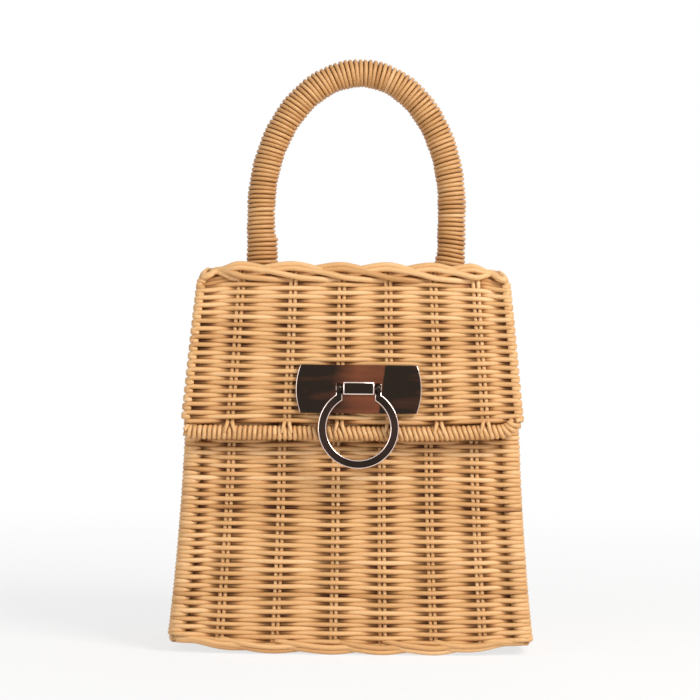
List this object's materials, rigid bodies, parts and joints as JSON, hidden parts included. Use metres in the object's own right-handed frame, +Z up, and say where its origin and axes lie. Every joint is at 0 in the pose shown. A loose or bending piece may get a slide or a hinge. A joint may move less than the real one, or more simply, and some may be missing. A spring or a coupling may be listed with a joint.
{
  "type": "wicker box bag",
  "caption": "Tapered woven cane box handbag with a hinged lid and front flap, a wound arched top handle, and a polished dark metal clasp plate with a drop ring.",
  "frame": {"origin": "on the ground under the middle of the woven box", "axes": "+Z up, -Y out of the front with the flap and clasp, +X to the right seen from the front"},
  "size_m": [0.1852, 0.1094, 0.3034],
  "materials": {
    "cane": "satin varnished cane",
    "handle_cane": "satin varnished cane",
    "dark_metal": "polished dark bronze plating"
  },
  "bodies": {
    "body": {"body_weave": "cane", "body_stakes": "cane", "base_mat": "cane", "foot_border": "cane", "mouth_rim": "cane", "hinge_loops": "cane", "snap_socket": "dark_metal"},
    "lid": {"lid_mat": "cane", "lid_border": "cane", "flap_weave": "cane", "flap_stakes": "cane", "flap_rim_rod": "cane", "flap_rim_binding": "cane", "clasp_plate": "dark_metal", "clasp_knuckle": "dark_metal", "clasp_pin": "dark_metal", "clasp_backing": "dark_metal", "snap_stud": "dark_metal", "handle": "handle_cane"},
    "ring": {"clasp_ring": "dark_metal"}
  },
  "joints": [
    {"name": "lid_hinge", "type": "hinge", "parent": "body", "child": "lid", "pos_m": [0, 0.0373, 0.1893], "axis": [-1, 0, 0], "range_deg": [0, 115]},
    {"name": "ring_hinge", "type": "hinge", "parent": "lid", "child": "ring", "pos_m": [0.003, -0.05421, 0.1324], "axis": [-1, 0, 0], "range_deg": [0, 170]}
  ]
}
